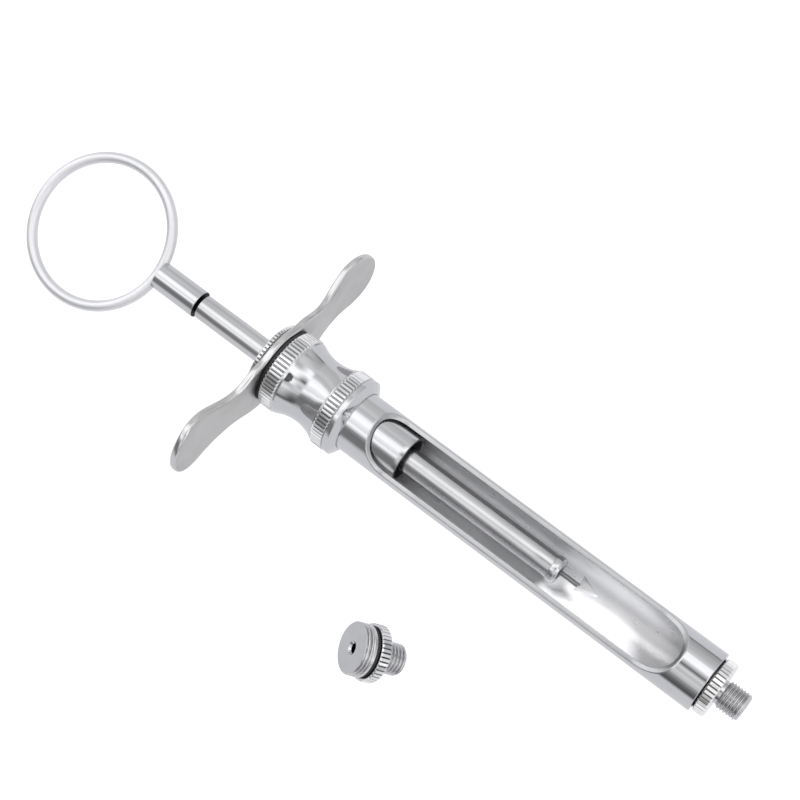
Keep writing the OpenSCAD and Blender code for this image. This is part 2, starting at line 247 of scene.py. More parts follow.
LIP = metal(
    "cut_face", light=(0.50, 0.503, 0.515), dark=(0.42, 0.423, 0.435),
    rough=(0.13, 0.22), scratch=0.2, bump=0.04, grain=0.3, grain_scale=(160, 3600, 3600))
# painted shade: dark metal put on the sleeve's mouth and bore, the holder's hole and the
# harpoon's shank, where the insides lie in shade
PAINTED_SHADE = metal(
    "painted_shade_metal", light=(0.27, 0.27, 0.275), dark=(0.20, 0.20, 0.205),
    rough=(0.36, 0.50), scratch=0.1, bump=0.04)
# painted shade: near-black metal put in the gap between the rod's tail and the ring collar,
# where shade falls
GAP_SHADE = metal(
    "painted_gap_shade", light=(0.05, 0.05, 0.052), dark=(0.02, 0.02, 0.022),
    rough=(0.45, 0.6), scratch=0.1, bump=0.05)
CHROME_ROD = metal(
    "chrome_rod", light=(0.60, 0.602, 0.615), dark=(0.55, 0.553, 0.565),
    rough=(0.06, 0.14), scratch=0.28, bump=0.04, grain=0.25, grain_scale=(160, 3600, 3600))
SATIN = metal(
    "satin_steel", light=(0.53, 0.527, 0.522), dark=(0.45, 0.447, 0.443),
    rough=(0.24, 0.34), scratch=0.15, bump=0.10, grain=0.8, grain_scale=(2600, 340, 2600))
POLISHED = metal(
    "polished_edge", light=(0.62, 0.62, 0.625), dark=(0.56, 0.56, 0.57),
    rough=(0.10, 0.20), scratch=0.25, bump=0.05)
TURNED = metal(
    "turned_face", light=(0.62, 0.624, 0.636), dark=(0.56, 0.565, 0.58),
    rough=(0.30, 0.42), scratch=0.12, bump=0.06, grain=0.5, grain_scale=(3000, 3000, 3000))
HARPOON = metal(
    "harpoon_steel", light=(0.80, 0.80, 0.81), dark=(0.68, 0.68, 0.69),
    rough=(0.20, 0.32), scratch=0.25, bump=0.08, grain=0.5, grain_scale=(700, 4200, 4200))
BRASS = metal(
    "turned_brass", light=(0.75, 0.56, 0.26), dark=(0.58, 0.42, 0.18),
    rough=(0.18, 0.34), scratch=0.2, bump=0.06, grain=0.5, grain_scale=(3000, 500, 500))
SPRING = metal(
    "spring_wire", light=(0.50, 0.51, 0.53), dark=(0.38, 0.39, 0.41),
    rough=(0.20, 0.34), scratch=0.2, bump=0.05)
RUBBER = rubber("black_rubber", colour=(0.005, 0.005, 0.0055))


# ------------------------------------------------------------ mesh helpers
def fillet(points, rounding=0.06, steps=4, closed=True):
    """Rounds the corners of a profile of (x, r[, own rounding]) points."""
    out = []
    last = len(points) - 1
    for i, point in enumerate(points):
        px, pr = point[:2]
        size = point[2] if len(point) > 2 else rounding
        if (not closed and i in (0, last)) or size <= 0:
            out.append((px, pr))
            continue
        before, after = points[i - 1], points[(i + 1) % len(points)]
        ax, ar = before[0] - px, before[1] - pr
        bx, br = after[0] - px, after[1] - pr
        a_len, b_len = math.hypot(ax, ar), math.hypot(bx, br)
        if a_len < 1e-9 or b_len < 1e-9:
            out.append((px, pr))
            continue
        ax, ar, bx, br = ax / a_len, ar / a_len, bx / b_len, br / b_len
        angle = math.acos(max(-1.0, min(1.0, ax * bx + ar * br)))
        if angle > math.radians(172) or angle < 1e-3:
            out.append((px, pr))
            continue
        # the arc may use at most 45 % of either neighbouring run
        reach = min(size / math.tan(angle / 2), 0.45 * a_len, 0.45 * b_len)
        radius = reach * math.tan(angle / 2)
        mid_x, mid_r = ax + bx, ar + br
        mid_len = math.hypot(mid_x, mid_r)
        cx = px + mid_x / mid_len * radius / math.sin(angle / 2)
        cr = pr + mid_r / mid_len * radius / math.sin(angle / 2)
        start = math.atan2(pr + ar * reach - cr, px + ax * reach - cx)
        end = math.atan2(pr + br * reach - cr, px + bx * reach - cx)
        sweep = (end - start + math.pi) % TAU - math.pi
        for k in range(steps + 1):
            a = start + sweep * k / steps
            out.append((cx + radius * math.cos(a), cr + radius * math.sin(a)))
    return out


def dense(points, step, closed=True):
    """Adds points so that no straight run is longer than step."""
    out = []
    count = len(points)
    for i in range(count if closed else count - 1):
        a, b = points[i], points[(i + 1) % count]
        parts = max(1, math.ceil(math.hypot(b[0] - a[0], b[1] - a[1]) / step))
        for j in range(parts):
            out.append((a[0] + (b[0] - a[0]) * j / parts, a[1] + (b[1] - a[1]) * j / parts))
    if not closed:
        out.append(tuple(points[-1]))
    return out


def lathe(profile, segments, cut=None, closed=True):
    """Turns a profile about X. cut(x, r, angle) may change the radius."""
    verts, faces, rings = [], [], []
    for x, r in profile:
        if r < 1e-6:
            rings.append([len(verts)])
            verts.append((x, 0.0, 0.0))
            continue
        rings.append(range(len(verts), len(verts) + segments))
        for j in range(segments):
            a = TAU * j / segments
            radius = cut(x, r, a) if cut else r
            verts.append((x, radius * math.cos(a), radius * math.sin(a)))
    for i in range(len(rings) if closed else len(rings) - 1):
        p, q = rings[i], rings[(i + 1) % len(rings)]
        for j in range(segments):
            k = (j + 1) % segments
            if len(p) == 1:
                faces.append((p[0], q[k], q[j]))
            elif len(q) == 1:
                faces.append((p[j], p[k], q[0]))
            else:
                faces.append((p[j], p[k], q[k], q[j]))
    return verts, faces


def bridge(rows, size, wrap=False):
    """Quads between successive rings of `size` vertices; wrap joins the last to the first."""
    faces = []
    for row in range(rows if wrap else rows - 1):
        here = row * size
        there = (row + 1) % rows * size
        for i in range(size):
            j = (i + 1) % size
            faces.append((here + i, here + j, there + j, there + i))
    return faces


def end_caps(rows, size):
    """The two faces that close a run of rings."""
    last = (rows - 1) * size
    return tuple(range(size)), tuple(last + j for j in range(size - 1, -1, -1))


def knurl(teeth, tip, depth, crest=0.5, between=(-math.inf, math.inf)):
    """Straight knurl for lathe(), between two x. crest: flat share of a tooth's pitch."""
    def cut(x, r, a):
        if not (between[0] <= x <= between[1]):
            return r
        phase = (a * teeth / TAU) % 1.0
        if phase < crest:
            return min(r, tip)
        across = (phase - crest) / (1 - crest)
        return min(r, tip - depth * (1 - abs(2 * across - 1)) ** 0.9)
    return cut


def thread(tip, pitch, depth, start, crest=0.22, root=0.2):
    """Right-hand helical thread for lathe(). crest, root: flat shares of half a pitch."""
    def cut(x, r, a):
        phase = ((x - start) / pitch + a / TAU) % 1.0
        from_root = abs(phase - 0.5) * 2          # 0 mid root, 1 mid crest
        rise = max(0.0, min(1.0, (from_root - root) / (1 - root - crest)))
        rise = rise * rise * (3 - 2 * rise) * 0.35 + rise * 0.65
        return min(r, tip - depth * (1 - rise))
    return cut


def join(parts):
    verts, faces = [], []
    for part_verts, part_faces in parts:
        start = len(verts)
        verts += part_verts
        faces += [tuple(i + start for i in face) for face in part_faces]
    return verts, faces


def turn(verts, degrees):
    """Turns vertices about X."""
    c, s = math.cos(math.radians(degrees)), math.sin(math.radians(degrees))
    return [(x, y * c - z * s, y * s + z * c) for x, y, z in verts]


def piece(name, shape, body, replaced, material, sharp=32, weld=0.0):
    """Makes an object from a shape in mm, hangs it on its body and hides its CAD node.

    sharp: angle in degrees from which an edge shades sharp.  weld: merging distance in mm.
    """
    verts, faces = shape
    mesh = bpy.data.meshes.new(name)
    mesh.from_pydata([(x * MM, y * MM, z * MM) for x, y, z in verts], [], faces)
    mesh.validate()
    bm = bmesh.new()
    bm.from_mesh(mesh)
    if weld:
        bmesh.ops.remove_doubles(bm, verts=bm.verts, dist=weld * MM)
    bmesh.ops.recalc_face_normals(bm, faces=bm.faces)
    bm.to_mesh(mesh)
    bm.free()
    mesh.polygons.foreach_set("use_smooth", [True] * len(mesh.polygons))
    mesh.set_sharp_from_angle(angle=math.radians(sharp))
    mesh.update()
    thing = bpy.data.objects.new(name, mesh)
    scene.collection.objects.link(thing)
    mesh.materials.append(material)
    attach(thing, body)
    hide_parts(replaced)
    return thing


def finish(thing, material, test):
    """Gives a material to faces where test(x, radius, x of the normal) holds, in mm."""
    mesh = thing.data
    mesh.materials.append(material)
    index = len(mesh.materials) - 1
    for face in mesh.polygons:
        x, y, z = (c / MM for c in face.center)
        if test(x, math.hypot(y, z), face.normal[0]):
            face.material_index = index


# ------------------------------------------------------------------ barrel
barrel_lo, barrel_hi = span("barrel")
BARREL_RADIUS = barrel_hi[1]
BORE_RADIUS = 5.15
BARREL_FRONT, BARREL_REAR = barrel_hi[0], barrel_lo[0]
LIP_HEIGHT = 2.5                           # z of the window's long lips
WINDOW_FRONT, WINDOW_REAR = -8.3, -75.9    # where the cut runs out at the top
FRONT_SWEEP, REAR_SWEEP = 9.0, 5.5         # radii of the two run-outs
REAR_LEAN = math.tan(math.radians(10))     # the rear run-out leans a little
RIM = 0.2                                  # rounding of the window's rims
END_STEPS, SIDE_STEPS = 60, 120            # points along a half end and along a side
HALF_COUNT = 2 * END_STEPS + SIDE_STEPS + 1
CORNER = 30                                # outline step led to the barrel's end corner
SURFACE_ROWS = 60
SHEET_FRONT, SHEET_REAR = BARREL_FRONT - 0.3, BARREL_REAR + 0.3   # where the end rings start


def run_out(radius, sweep):
    """Half of a run-out's outline on a radius, from the top (y = 0) to the lip.

    Evenly spaced points of (distance in from the window's end, y).
    """
    reach = sweep * math.sin(math.acos((sweep - (BARREL_RADIUS - LIP_HEIGHT)) / sweep))
    top_angle = math.acos((sweep - (radius - LIP_HEIGHT)) / sweep)
    samples = 600
    line = []
    for i in range(samples + 1):
        a = top_angle * (1 - (i / samples) ** 2)
        z = LIP_HEIGHT + sweep * (1 - math.cos(a))
        line.append((reach - sweep * math.sin(a),
                     math.sqrt(max(0.0, radius * radius - z * z))))
    lengths = [0.0]
    for p, q in zip(line, line[1:]):
        lengths.append(lengths[-1] + math.hypot(q[0] - p[0], q[1] - p[1]))
    out, k = [], 0
    for i in range(END_STEPS + 1):
        want = lengths[-1] * i / END_STEPS
        while k < len(lengths) - 2 and lengths[k + 1] < want:
            k += 1
        t = (want - lengths[k]) / max(1e-9, lengths[k + 1] - lengths[k])
        p, q = line[k], line[k + 1]
        out.append((p[0] + (q[0] - p[0]) * t, p[1] + (q[1] - p[1]) * t))
    return out


def window_loop(radius):
    """Window outline on a radius as (x, angle from +Z, side).

    It runs from the front tip round by +Y and back by -Y.
    """
    front, rear = run_out(radius, FRONT_SWEEP), run_out(radius, REAR_SWEEP)
    half = [(WINDOW_FRONT - inward, y, 0.0) for inward, y in front]      # x, y, share of lean
    side_front, side_rear, side_y = half[-1][0], WINDOW_REAR + rear[-1][0], half[-1][1]
    half += [(side_front + (side_rear - side_front) * i / SIDE_STEPS, side_y, i / SIDE_STEPS)
             for i in range(1, SIDE_STEPS)]
    half += [(WINDOW_REAR + inward, y, 1.0) for inward, y in rear[::-1]]
    full = [(x, y, lean, 1) for x, y, lean in half]
    full += [(x, -y, lean, -1) for x, y, lean in half[-2:0:-1]]
    return [(x - REAR_LEAN * y * lean, math.asin(y / radius), side)
            for x, y, lean, side in full]


def rim_edge(radius, loop):
    """Outline points as (x, arc length from +Z), each with the direction off the opening."""
    base = [(x, radius * angle) for x, angle, _ in loop]
    out = []
    for i, point in enumerate(base):
        p, q = base[i - 1], base[(i + 1) % len(base)]
        along_x, along_s = q[0] - p[0], q[1] - p[1]
        length = math.hypot(along_x, along_s)
        out.append((point, (along_s / length, -along_x / length)))
    return out


def far_point(index, radius, loop):
    """Where an outline point runs to: an end of the sheet or its seam opposite the window."""
    x, _, side = loop[index]
    seam = side * math.pi * radius
    step = index if index < HALF_COUNT else len(loop) - index
    back = HALF_COUNT - 1 - step
    if step <= CORNER:
        return SHEET_FRONT, seam * step / CORNER
    if step < END_STEPS:
        t = (step - CORNER) / (END_STEPS - CORNER)
        return SHEET_FRONT + (loop[END_STEPS][0] - SHEET_FRONT) * t, seam
    if step <= END_STEPS + SIDE_STEPS:
        return x, seam
    if back <= CORNER:
        return SHEET_REAR, seam * back / CORNER
    t = (back - CORNER) / (END_STEPS - CORNER)
    return SHEET_REAR + (loop[END_STEPS + SIDE_STEPS][0] - SHEET_REAR) * t, seam


def on_tube(radius, x, arc):
    a = arc / radius
    return (x, radius * math.sin(a), radius * math.cos(a))


def sheet_rows(radius, loop, edge):
    """Rows of a cylindrical surface from the window's rim out to the far seam."""
    rows = []
    for k in range(SURFACE_ROWS + 1):
        t = (k / SURFACE_ROWS) ** 1.15
        row = []
        for i, ((x, arc), (off_x, off_arc)) in enumerate(edge):
            near_x, near_arc = x + off_x * RIM, arc + off_arc * RIM
            far_x, far_arc = far_point(i, radius, loop)
            row.append(on_tube(radius, near_x + (far_x - near_x) * t,
                               near_arc + (far_arc - near_arc) * t))
        rows.append(row)
    return rows


def bend(start, corner, end):
    """Six points inside a rounded corner."""
    return [start * (1 - t) ** 2 + corner * 2 * t * (1 - t) + end * t * t
            for t in (k / 7 for k in range(1, 7))]


def rim_lines(outer, inner):
    """Across the cut at each outline point: outer rounding, wall, inner rounding."""
    lines = []
    for ((ax, a_arc), (a_off_x, a_off_arc)), ((bx, b_arc), (b_off_x, b_off_arc)) in zip(
            outer, inner):
        outer_start = Vector(on_tube(BARREL_RADIUS, ax + a_off_x * RIM, a_arc + a_off_arc * RIM))
        outer_corner = Vector(on_tube(BARREL_RADIUS, ax, a_arc))
        inner_corner = Vector(on_tube(BORE_RADIUS, bx, b_arc))
        inner_end = Vector(on_tube(BORE_RADIUS, bx + b_off_x * RIM, b_arc + b_off_arc * RIM))
        wall = inner_corner - outer_corner
        rounding = min(RIM, wall.length * 0.4)
        wall.normalize()
        top = outer_corner + wall * rounding
        bottom = inner_corner - wall * rounding
        lines.append(bend(outer_start, outer_corner, top)
                     + [top, top * 0.5 + bottom * 0.5, bottom]
                     + bend(bottom, inner_corner, inner_end))
    return lines


def barrel_end(profile):
    """End ring whose vertices meet those at the sheets' ends."""
    angles = [math.pi * k / CORNER for k in range(CORNER + 1)]
    angles += [-math.pi * k / CORNER for k in range(CORNER - 1, 0, -1)]
    verts = [(x, r * math.sin(a), r * math.cos(a)) for x, r in profile for a in angles]
    return verts, bridge(len(profile), len(angles))


def barrel_shape():
    outer_loop, inner_loop = window_loop(BARREL_RADIUS), window_loop(BORE_RADIUS)
    outer, inner = rim_edge(BARREL_RADIUS, outer_loop), rim_edge(BORE_RADIUS, inner_loop)
    rows = sheet_rows(BARREL_RADIUS, outer_loop, outer)[::-1]
    rows += [[tuple(p) for p in row] for row in zip(*rim_lines(outer, inner))]
    rows += sheet_rows(BORE_RADIUS, inner_loop, inner)
    sheet = [p for row in rows for p in row], bridge(len(rows), len(outer_loop))
    mouth_radius = 5.05                    # slightly narrower than the bore, 
    mouth_rear = -6.2                      # back to this x
    front = fillet([
        (SHEET_FRONT, BARREL_RADIUS), (BARREL_FRONT, BARREL_RADIUS, 0.14),
        (BARREL_FRONT, mouth_radius, 0.08), (mouth_rear, mouth_radius, 0.04),
        (mouth_rear, BORE_RADIUS, 0.0), (SHEET_FRONT - 4.2, BORE_RADIUS)], closed=False)
    rear = fillet([
        (SHEET_REAR, BARREL_RADIUS), (BARREL_REAR, BARREL_RADIUS, 0.1),
        (BARREL_REAR, BORE_RADIUS, 0.08), (SHEET_REAR, BORE_RADIUS)], closed=False)
    return join([sheet, barrel_end(front), barrel_end(rear)])


def build_barrel():
    barrel = piece("barrel_tube", barrel_shape(), "body", "barrel", CHROME,
                   sharp=40, weld=0.0004)
    wall_start = BORE_RADIUS + 0.02
    finish(barrel, BORE, lambda x, r, facing: r < wall_start)
    finish(barrel, LIP, lambda x, r, facing: BARREL_REAR + 1 < x < BARREL_FRONT - 1
           and wall_start <= r < BARREL_RADIUS - 0.03)


# ---------------------------------------------------------- spring housing
WAIST_REAR, WAIST_FRONT, WAIST_MIDDLE = -94.05, -85.5, -89.8
WAIST_RADIUS = 6.66                # at its narrowest
WAIST_CURVE = 9.1                  # radius of the hollow
WAIST_STEPS = 32
TEETH = 60                         # round the housing and the rear nut
TOOTH_SEGMENTS = 10
TOOTH_DEPTH = 0.34
REAR_BAND, FRONT_BAND = 7.93, 7.98       # radii of the knurled bands


def build_housing():
    waist = []
    for i in range(WAIST_STEPS + 1):
        x = WAIST_REAR + (WAIST_FRONT - WAIST_REAR) * i / WAIST_STEPS
        u = (x - WAIST_MIDDLE) / WAIST_CURVE
        r = WAIST_RADIUS + WAIST_CURVE - WAIST_CURVE * math.sqrt(1 - u * u)
        waist.append((x, r, 0.0))
    # x, radius, rounding: rear tube, rear band, waist, front band, then back along the inside
    profile = [
        (-101.9, 3.25, 0.05), (-101.9, 4.0, 0.12), (-97.6, 4.0, 0.02),
        (-97.6, 7.6, 0.1), (-97.3, REAR_BAND, 0.1), (-94.75, REAR_BAND, 0.1),
        (-94.5, 7.62, 0.05), *waist,
        (-85.28, 7.72, 0.05), (-85.05, FRONT_BAND, 0.08), (-82.75, FRONT_BAND, 0.08),
        (-82.55, 7.72, 0.05), (-82.5, 7.72, 0.03), (-82.42, 7.93, 0.06), (-81.45, 7.93, 0.12),
        (-80.5, 6.4, 0.1), (-80.5, 6.02, 0.03), (-86.3, 6.02, 0.02), (-86.3, 5.45, 0.02),
        (-96.3, 5.45, 0.05), (-96.3, 3.25, 0.05)]
    rear_knurl = knurl(TEETH, REAR_BAND, TOOTH_DEPTH, between=(-97.45, -94.55))
    front_knurl = knurl(TEETH, FRONT_BAND, TOOTH_DEPTH, between=(-85.22, -82.6))

    def cut(x, r, a):
        return r if r < 6.3 else front_knurl(x, rear_knurl(x, r, a), a)

    shape = lathe(dense(fillet(profile), 1.2), TEETH * TOOTH_SEGMENTS, cut)
    housing = piece("spring_housing_shell", shape, "body", "spring_housing", CHROME,
                    sharp=30)
    finish(housing, CHROME_KNURL, lambda x, r, facing:
           (-97.62 < x < -94.45 or -85.3 < x < -82.5) and r > 7.3)


# ----------------------------------------------------------- guide, spring
SPRING_REAR, SPRING_FRONT = -95.6, -88.66


def coil(start, end, radius, wire, turns, steps=64, sides=14):
    """Helical spring along X with closed end turns. radius: to the middle of the wire."""
    verts = []
    count = int(turns * steps)
    closed_pitch = wire * 1.03
    length = end - start
    for i in range(count + 1):
        q = i / steps
        if q < 1:
            along = closed_pitch * q
        elif q > turns - 1:
            along = length - closed_pitch * (turns - q)
        else:
            along = closed_pitch + (length - 2 * closed_pitch) * (q - 1) / (turns - 2)
        a = TAU * q
        for j in range(sides):
            b = TAU * j / sides
            r = radius + wire / 2 * math.cos(b)
            verts.append((start + along + wire / 2 * math.sin(b),
                          r * math.cos(a), r * math.sin(a)))
    return verts, [*bridge(count + 1, sides), *end_caps(count + 1, sides)]


def build_guide():
    profile = [
        (-88.3, 2.46, 0.1), (-88.3, 5.38, 0.12), (-86.35, 5.38, 0.08), (-86.35, 4.75, 0.03),
        (-68.6, 4.75, 0.13), (-68.6, 4.15, 0.1), (-86.0, 4.15, 0.1), (-86.0, 2.46, 0.1)]
    guide = piece("guide_sleeve_tube", lathe(dense(fillet(profile, steps=5), 1.0), 160),
                  "guide", "guide_sleeve", CHROME)
    # painted shade on the sleeve's front face and bore
    finish(guide, PAINTED_SHADE, lambda x, r, facing: x > -68.68 or r < 4.2)

    stop = fillet([(-86.28, 4.86), (-86.28, 5.95), (-85.92, 5.95), (-85.92, 4.86)], 0.08)
    piece("guide_stop_ring", lathe(stop, 128), "body", "guide_bumper", RUBBER)

    spring = piece("guide_spring_coil",
                   coil(SPRING_REAR, SPRING_FRONT, radius=4.6, wire=0.6, turns=4.5),
                   "body", "guide_spring", SPRING)
    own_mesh(spring)

    seat = fillet([(-96.27, 2.6), (-96.27, 5.38), (-95.93, 5.38), (-95.93, 2.6)], steps=3)
    piece("spring_seat_washer", lathe(seat, 96), "body", "spring_seat", BRASS)


# ----------------------------------------------------------- rear fittings
GRIP_FRONT, GRIP_THICKNESS = -98.3, 1.5
NUT_FRONT = GRIP_FRONT - GRIP_THICKNESS - 0.05


def build_rear_fittings():
    # bush with a groove for the O-ring in its bore
    bush = fillet([
        (-101.85, 2.45, 0.12), (-101.85, 3.2, 0.08), (-96.35, 3.2, 0.08), (-96.35, 2.45, 0.1),
        (-98.5, 2.45, 0.04), (-98.5, 2.98, 0.03), (-99.6, 2.98, 0.03), (-99.6, 2.45, 0.04)])
    piece("rod_bush_ring", lathe(bush, 96), "body", "rod_bush", BRASS)

    ring_x, ring_radius, cord_radius, sides = -99.05, 2.7, 0.27, 24
    cord = [(ring_x + cord_radius * math.cos(TAU * i / sides),
             ring_radius + cord_radius * math.sin(TAU * i / sides)) for i in range(sides)]
    piece("rod_o_ring_seal", lathe(cord, 96), "body", "rod_o_ring", RUBBER)

    washer = fillet([(-98.25, 4.1), (-98.25, 7.6), (-97.65, 7.6), (-97.65, 4.1)], 0.18, 6)
    piece("grip_washer_ring", lathe(washer, 160), "body", "grip_washer", RUBBER)

    # x behind the nut's front face, radius, rounding
    nut_profile = [
        (0, 4.02, 0.05), (0, 7.0, 0.06), (0.28, 7.33, 0.08), (0.92, 7.33, 0.08),
        (1.2, 6.95, 0.08), (1.3, 5.5, 0.25), (1.88, 5.0, 0.15), (1.88, 4.02, 0.08)]
    nut_knurl = knurl(TEETH, 7.35, TOOTH_DEPTH)
    shape = lathe(
        dense(fillet([(NUT_FRONT - back, r, f) for back, r, f in nut_profile]), 0.5),
        TEETH * TOOTH_SEGMENTS, lambda x, r, a: nut_knurl(x, r, a) if r > 6.0 else r)
    nut = piece("rear_nut_ring", shape, "body", "rear_nut", CHROME)
    finish(nut, CHROME_KNURL, lambda x, r, facing: r > 6.9)


# ------------------------------------------------------------- finger grip
WING_TIP = 28.6                    # y of the wings' ends
WING_WIDEST = 22.3                 # y where the wings are widest
WING_HALF, NECK_HALF = 6.95, 4.75  # half widths at the widest and at the neck
HUB_RADIUS = 7.8
GRIP_HOLE = 4.05
GRIP_EDGE = 0.55                   # roundness of the plate's edge
GRIP_TURN = -20.5                  # degrees about X
GRIP_ROWS = 40


def ease(v):
    v = max(0.0, min(1.0, v))
    return 0.5 - 0.5 * math.cos(math.pi * v)


def wing_face(y):
    """x of the plate's front face: it sweeps back, then the tips curl forward."""
    a = abs(y)
    return GRIP_FRONT - 1.3 * ease((a - 9) / 12) + 0.55 * ease((a - 20) / 10)


def wing_half(y):
    """Half width of the plate at a y of 0 or more."""
    if y > WING_WIDEST:
        share = (y - WING_WIDEST) / (WING_TIP - WING_WIDEST)
        half = WING_HALF * math.sqrt(max(0.0, 1 - share ** 2))
    elif y > 13:
        half = NECK_HALF + (WING_HALF - NECK_HALF) * ease((y - 13) / 9.3)
    else:
        half = NECK_HALF + 1.9 * (1 - ease((y - 6) / 7))
    if y < HUB_RADIUS:
        # soft maximum of wing and round hub
        hub = math.sqrt(HUB_RADIUS ** 2 - y * y)
        blend = 0.5
        half = blend * math.log(math.exp(half / blend) + math.exp(hub / blend))
        half = min(half, 7.9)
    return half


def grip_outline():
    """(y, z) points from the +Y tip over +Z to the -Y tip and back under."""
    stations = [WING_WIDEST * i / 90 for i in range(90)]
    stations += [WING_WIDEST + (WING_TIP - WING_WIDEST) * math.sin(math.radians(90 * i / 48))
                 for i in range(49)]
    quarter = [(y, wing_half(y)) for y in stations]
    quarter[-1] = (WING_TIP, 0.0)
    return (quarter[::-1] + [(-y, z) for y, z in quarter[1:]]
            + [(-y, -z) for y, z in quarter[-2::-1]] + [(y, -z) for y, z in quarter[1:-1]])


def grip_shape():
    outline = grip_outline()
    inward = []
    for i in range(len(outline)):
        p, q = outline[i - 1], outline[(i + 1) % len(outline)]
        ty, tz = q[0] - p[0], q[1] - p[1]
        length = math.hypot(ty, tz)
        inward.append((-tz / length, ty / length))

    def inset(offset):
        return [(y + ny * offset, z + nz * offset)
                for (y, z), (ny, nz) in zip(outline, inward)]

    def row(points, depth):
        return [(wing_face(y) - depth, y, z) for y, z in points]

    def face_row(k, depth):
        """Row of a face, from the rounded edge (k = 0) in to the hole."""
        t = (k / GRIP_ROWS) ** 1.1
        points = []
        for y, z in inset(GRIP_EDGE):
            a = math.atan2(z, y)
            points.append((y + (GRIP_HOLE * math.cos(a) - y) * t,
                           z + (GRIP_HOLE * math.sin(a) - z) * t))
        return row(points, depth)

    f = GRIP_EDGE
    quarter_turn = [math.radians(90 * k / 7) for k in range(8)]
    rows = [face_row(k, 0.0) for k in range(GRIP_ROWS, 0, -1)]
    rows += [row(inset(f * (1 - math.sin(a))), f * (1 - math.cos(a))) for a in quarter_turn]
    rows += [row(inset(f * (1 - math.cos(a))), GRIP_THICKNESS - f + f * math.sin(a))
             for a in quarter_turn[1:]]
    rows += [face_row(k, GRIP_THICKNESS) for k in range(1, GRIP_ROWS + 1)]
    verts = [p for r in rows for p in r]
    return turn(verts, GRIP_TURN), bridge(len(rows), len(outline), wrap=True)


def build_grip():
    grip = piece("finger_grip_plate", grip_shape(), "grip", "finger_grip", SATIN,
                 sharp=50)
    finish(grip, POLISHED, lambda x, r, facing: abs(facing) < 0.93)


# ----------------------------------------------------------------- plunger
PLUNGER_FRONT = -34.4
BARB_BASE, BARB_TIP = -30.7, -26.65
BARB_HALF, BARB_HALF_THICK = 1.65, 0.4
BARB_ASIDE = 0.55                  # the head sits a little to one side of its shank
SHANK_RADIUS = 0.45
HARPOON_TURN = -24                 # degrees about X


def build_rod():
    front = PLUNGER_FRONT
    # thin grooved tail, main rod, spigot inside the holder
    profile = [
        (-126.1, 0.0, 0), (-126.1, 1.6, 0.2), (-124.8, 1.6, 0.04), (-124.8, 1.2, 0.03),
        (-123.95, 1.2, 0.03), (-123.95, 1.6, 0.04), (-117.6, 1.6, 0.05), (-117.6, 2.4, 0.16),
        (front - 1.65, 2.4, 0.03), (front - 1.65, 1.52, 0.02), (front - 6.6, 1.52, 0.02),
        (front - 6.6, 0.0, 0)]
    shape = lathe(dense(fillet(profile, closed=False), 4.0, closed=False), 160, closed=False)
    rod = piece("plunger_rod_bar", shape, "plunger", "plunger_rod", CHROME_ROD)
    # painted shade on the rod's thin tail and shoulder, in the gap inside the collar
    finish(rod, GAP_SHADE, lambda x, r, facing: x < -117.5 and (r < 1.7 or facing < -0.8))


def build_holder():
    front = PLUNGER_FRONT
    profile = [
        (front - 6.4, 0.47, 0.03), (front - 6.4, 1.5, 0.15), (front - 1.6, 1.5, 0.03),
        (front - 1.6, 2.62, 0.07), (front - 0.5, 2.62, 0.12), (front, 2.25, 0.1),
        (front, 1.5, 0.08), (front - 0.7, 1.1, 0.1), (front - 0.7, 0.47, 0.03)]
    holder = piece("harpoon_holder_end", lathe(fillet(profile, steps=5), 128), "plunger",
                   "harpoon_holder", CHROME)
    finish(holder, TURNED, lambda x, r, facing: x > front - 0.05 and facing > 0.6)
    # painted shade inside the holder's hole
    finish(holder, PAINTED_SHADE, lambda x, r, facing: front - 0.75 < x < front - 0.01 and r < 1.55)


def inset_barb(outline, distance):
    """Moves every side of the barb's (x, y) outline inwards."""
    lines = []
    for i, (ax, ay) in enumerate(outline):
        bx, by = outline[(i + 1) % len(outline)]
        length = math.hypot(bx - ax, by - ay)
        nx, ny = (by - ay) / length, -(bx - ax) / length
        if nx * ((ax + bx) / 2 - (BARB_BASE + 1.6)) + ny * ((ay + by) / 2 - BARB_ASIDE) > 0:
            nx, ny = -nx, -ny
        lines.append((ax + nx * distance, ay + ny * distance, bx - ax, by - ay))
    points = []
    for i, (x2, y2, dx2, dy2) in enumerate(lines):
        x1, y1, dx1, dy1 = lines[i - 1]
        s = ((x2 - x1) * dy2 - (y2 - y1) * dx2) / (dx1 * dy2 - dy1 * dx2)
        points.append((x1 + dx1 * s, y1 + dy1 * s))
    return points


def harpoon_shape():
    half, thick, aside = BARB_HALF, BARB_HALF_THICK, BARB_ASIDE
    outline = [
        (BARB_TIP, aside), (BARB_BASE + 0.2, half + aside), (BARB_BASE, half - 0.1 + aside),
        (BARB_BASE + 0.25, 0.5 + aside), (BARB_BASE + 0.25, -0.5 + aside),
        (BARB_BASE, -half + 0.1 + aside), (BARB_BASE + 0.2, -half + aside)]
    # inset of the outline, z
    levels = [(0.16, thick), (0.05, thick - 0.05), (0.0, thick - 0.2),
              (0.0, -thick + 0.2), (0.05, -thick + 0.05), (0.16, -thick)]
    verts = [(x, y, z) for inset, z in levels for x, y in inset_barb(outline, inset)]
    size = len(outline)
    faces = [*bridge(len(levels), size), *end_caps(len(levels), size)]
    rear, front = PLUNGER_FRONT - 4.0, BARB_BASE + 0.6
    shank = fillet([(rear, 0.0, 0), (rear, SHANK_RADIUS, 0.1), (front, SHANK_RADIUS, 0.1),
                    (front, 0.0, 0)], closed=False)
    verts, faces = join([(verts, faces), lathe(shank, 40, closed=False)])
    return turn(verts, HARPOON_TURN), faces


